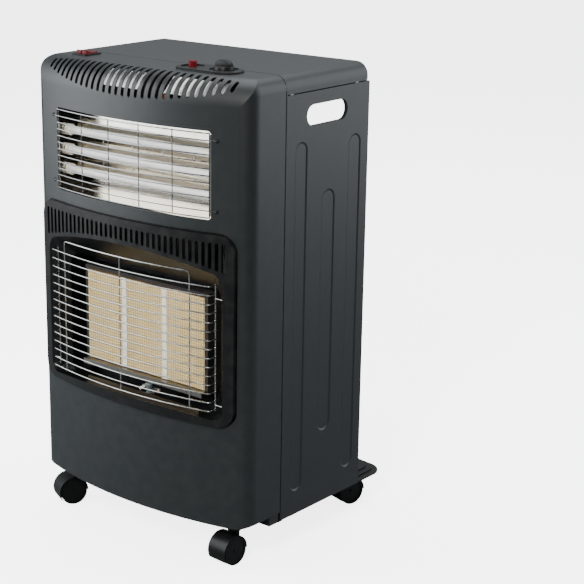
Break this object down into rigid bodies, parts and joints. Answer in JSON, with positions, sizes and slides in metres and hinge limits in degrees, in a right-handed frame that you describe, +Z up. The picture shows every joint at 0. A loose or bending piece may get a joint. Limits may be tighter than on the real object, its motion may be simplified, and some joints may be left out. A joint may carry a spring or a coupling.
{
  "type": "portable gas cabinet heater",
  "caption": "Folding cabinet heater on castors with a ceramic gas burner below a quartz element bank, wire guards, lid, side panels and a bottle tray.",
  "frame": {"origin": "on the floor under the middle of the heater's overall box", "axes": "+X to the viewer's right when facing the burner, +Y from the burner to the bottle side, +Z up"},
  "size_m": [0.42, 0.4022, 0.732],
  "materials": {
    "body_paint": "matte anthracite powder coat",
    "black_paint": "satin black enamel",
    "bare_steel": "galvanised sheet",
    "zinc_wire": "bright zinc plate",
    "polished_sheet": "mirror polished",
    "ceramic_plaque": "perforated ceramic, matte",
    "white_fibre": "ceramic fibre, matte",
    "cream_ceramic": "glazed ceramic",
    "quartz": "clear fused quartz",
    "coil_wire": "resistance wire",
    "brass": "machined",
    "copper": "drawn tube",
    "black_plastic": "fine matte",
    "red_plastic": "translucent gloss",
    "wheel_plastic": "satin nylon"
  },
  "bodies": {
    "front_unit": {"front_casing": "body_paint", "back_plate": "bare_steel", "base_plate": "bare_steel", "base_rail": "body_paint", "front_castor_sockets": "black_paint", "burner_bezel": "black_paint", "burner_guard": "zinc_wire", "burner_box": "black_paint", "burner_plenum": "bare_steel", "ceramic_plaque_left": "ceramic_plaque", "ceramic_plaque_middle": "ceramic_plaque", "ceramic_plaque_right": "ceramic_plaque", "plaque_gaskets": "white_fibre", "burner_ledge": "bare_steel", "deflector_pan": "brass", "pilot_burner": "bare_steel", "thermocouple": "copper", "ignition_electrode": "cream_ceramic", "gas_valve": "brass", "valve_bracket": "bare_steel", "hose_tail": "brass", "supply_pipe": "copper", "gas_manifold": "bare_steel", "pilot_pipe": "copper", "heating_coils": "coil_wire", "element_end_caps": "cream_ceramic", "element_brackets": "bare_steel", "element_reflector": "polished_sheet", "quartz_tube_bottom": "quartz", "quartz_tube_middle": "quartz", "quartz_tube_top": "quartz", "element_guard": "zinc_wire", "heat_deflector": "polished_sheet", "switch_bezel": "black_plastic", "control_plate": "black_plastic", "igniter_body": "black_plastic", "casing_screws": "zinc_wire", "panel_hinge_pins": "zinc_wire", "lid_hinge_pins": "zinc_wire", "tray_hinge_pins": "zinc_wire", "cable_gland": "black_plastic", "tilt_switch": "black_plastic"},
    "lid": {"lid": "body_paint"},
    "side_panel_left": {"side_panel_left": "body_paint"},
    "side_panel_right": {"side_panel_right": "body_paint"},
    "base_tray": {"base_tray": "black_paint"},
    "castor_front_left": {"castor_hood_front_left": "wheel_plastic"},
    "wheels_front_left": {"castor_wheels_front_left": "wheel_plastic"},
    "castor_front_right": {"castor_hood_front_right": "wheel_plastic"},
    "wheels_front_right": {"castor_wheels_front_right": "wheel_plastic"},
    "castor_rear_left": {"castor_hood_rear_left": "wheel_plastic"},
    "wheels_rear_left": {"castor_wheels_rear_left": "wheel_plastic"},
    "castor_rear_right": {"castor_hood_rear_right": "wheel_plastic"},
    "wheels_rear_right": {"castor_wheels_rear_right": "wheel_plastic"},
    "rocker_left": {"rocker_switch_left": "red_plastic"},
    "rocker_right": {"rocker_switch_right": "red_plastic"},
    "ignition_button": {"ignition_button": "red_plastic"},
    "valve_spindle": {"valve_spindle": "brass"},
    "gas_knob": {"gas_knob": "black_plastic"}
  },
  "joints": [
    {"name": "lid_hinge", "type": "hinge", "parent": "front_unit", "child": "lid", "pos_m": [0, -0.0718, 0.7103], "axis": [1, 0, 0], "range_deg": [0, 95]},
    {"name": "side_panel_left_fold", "type": "hinge", "parent": "front_unit", "child": "side_panel_left", "pos_m": [-0.2052, -0.0749, 0.372], "axis": [0, 0, -1], "range_deg": [0, 90]},
    {"name": "side_panel_right_fold", "type": "hinge", "parent": "front_unit", "child": "side_panel_right", "pos_m": [0.2052, -0.0749, 0.372], "axis": [0, 0, 1], "range_deg": [0, 90]},
    {"name": "base_tray_fold", "type": "hinge", "parent": "front_unit", "child": "base_tray", "pos_m": [0, -0.0509, 0.05], "axis": [1, 0, 0], "range_deg": [0, 90]},
    {"name": "castor_front_left_swivel", "type": "hinge", "parent": "front_unit", "child": "castor_front_left", "pos_m": [-0.164, -0.1309, 0.047], "axis": [0, 0, 1], "continuous": true},
    {"name": "wheels_front_left_roll", "type": "hinge", "parent": "castor_front_left", "child": "wheels_front_left", "pos_m": [-0.16992, -0.14359, 0.0215], "axis": [-0.9063, 0.4226, 0], "continuous": true},
    {"name": "castor_front_right_swivel", "type": "hinge", "parent": "front_unit", "child": "castor_front_right", "pos_m": [0.164, -0.1309, 0.047], "axis": [0, 0, 1], "continuous": true},
    {"name": "wheels_front_right_roll", "type": "hinge", "parent": "castor_front_right", "child": "wheels_front_right", "pos_m": [0.16302, -0.14487, 0.0215], "axis": [-0.9976, 0.0698, 0], "continuous": true},
    {"name": "castor_rear_left_swivel", "type": "hinge", "parent": "base_tray", "child": "castor_rear_left", "pos_m": [-0.164, 0.1631, 0.047], "axis": [0, 0, 1], "continuous": true},
    {"name": "wheels_rear_left_roll", "type": "hinge", "parent": "castor_rear_left", "child": "wheels_rear_left", "pos_m": [-0.16691, 0.14941, 0.0215], "axis": [-0.9781, 0.2079, 0], "continuous": true},
    {"name": "castor_rear_right_swivel", "type": "hinge", "parent": "base_tray", "child": "castor_rear_right", "pos_m": [0.164, 0.1631, 0.047], "axis": [0, 0, 1], "continuous": true},
    {"name": "wheels_rear_right_roll", "type": "hinge", "parent": "castor_rear_right", "child": "wheels_rear_right", "pos_m": [0.15991, 0.14971, 0.0215], "axis": [-0.9563, 0.2924, 0], "continuous": true},
    {"name": "rocker_left_tilt", "type": "hinge", "parent": "front_unit", "child": "rocker_left", "pos_m": [-0.1547, -0.1099, 0.713], "axis": [1, 0, 0], "range_deg": [0, 16]},
    {"name": "rocker_right_tilt", "type": "hinge", "parent": "front_unit", "child": "rocker_right", "pos_m": [-0.1433, -0.1099, 0.713], "axis": [1, 0, 0], "range_deg": [0, 16]},
    {"name": "ignition_button_press", "type": "slide", "parent": "front_unit", "child": "ignition_button", "axis": [0, 0, -1], "range_m": [0, 0.004], "stiffness_N_per_m": 800},
    {"name": "gas_knob_press", "type": "slide", "parent": "front_unit", "child": "valve_spindle", "axis": [0, 0, -1], "range_m": [0, 0.004], "stiffness_N_per_m": 1500},
    {"name": "gas_knob_turn", "type": "hinge", "parent": "valve_spindle", "child": "gas_knob", "pos_m": [0.1174, -0.1049, 0.716], "axis": [0, 0, 1], "range_deg": [0, 210]}
  ]
}
